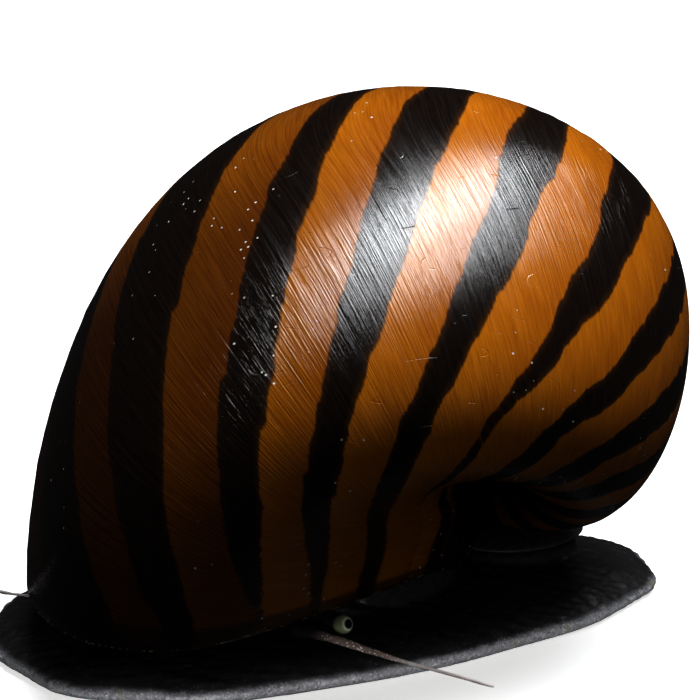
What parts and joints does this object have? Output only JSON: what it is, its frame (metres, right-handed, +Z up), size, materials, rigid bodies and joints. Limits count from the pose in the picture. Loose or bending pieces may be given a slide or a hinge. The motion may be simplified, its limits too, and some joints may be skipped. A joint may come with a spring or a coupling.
{
  "type": "nerite snail",
  "caption": "Life-size still model of a living nerite snail with a glossy striped shell, its dark foot flat on the floor and both feelers out.",
  "frame": {"origin": "on the floor, under the middle of the flat sole", "axes": "+Z up from the sole; -X the way the snail faces, along its foot; -Y the snail's left side, which the picture shows"},
  "size_m": [0.028, 0.0234, 0.0195],
  "materials": {
    "shell": "glossy, black with orange-brown stripes",
    "flesh": "moist, near black with pale specks",
    "mantle": "moist, brown with yellow dots",
    "feeler": "moist, pinkish grey-brown",
    "eye": "clear wet gloss",
    "lid": "satin, horn-coloured"
  },
  "bodies": {
    "root": {"shell": "shell", "mantle_edge": "mantle", "neck": "flesh", "head": "flesh", "foot_front": "flesh", "foot_middle": "flesh", "foot_tail": "flesh", "operculum": "lid", "eyestalk_left": "flesh", "eyestalk_right": "flesh", "eye_left": "eye", "eye_right": "eye", "feeler_left_1": "feeler", "feeler_left_2": "feeler", "feeler_left_3": "feeler", "feeler_right_1": "feeler", "feeler_right_2": "feeler", "feeler_right_3": "feeler"}
  },
  "joints": []
}
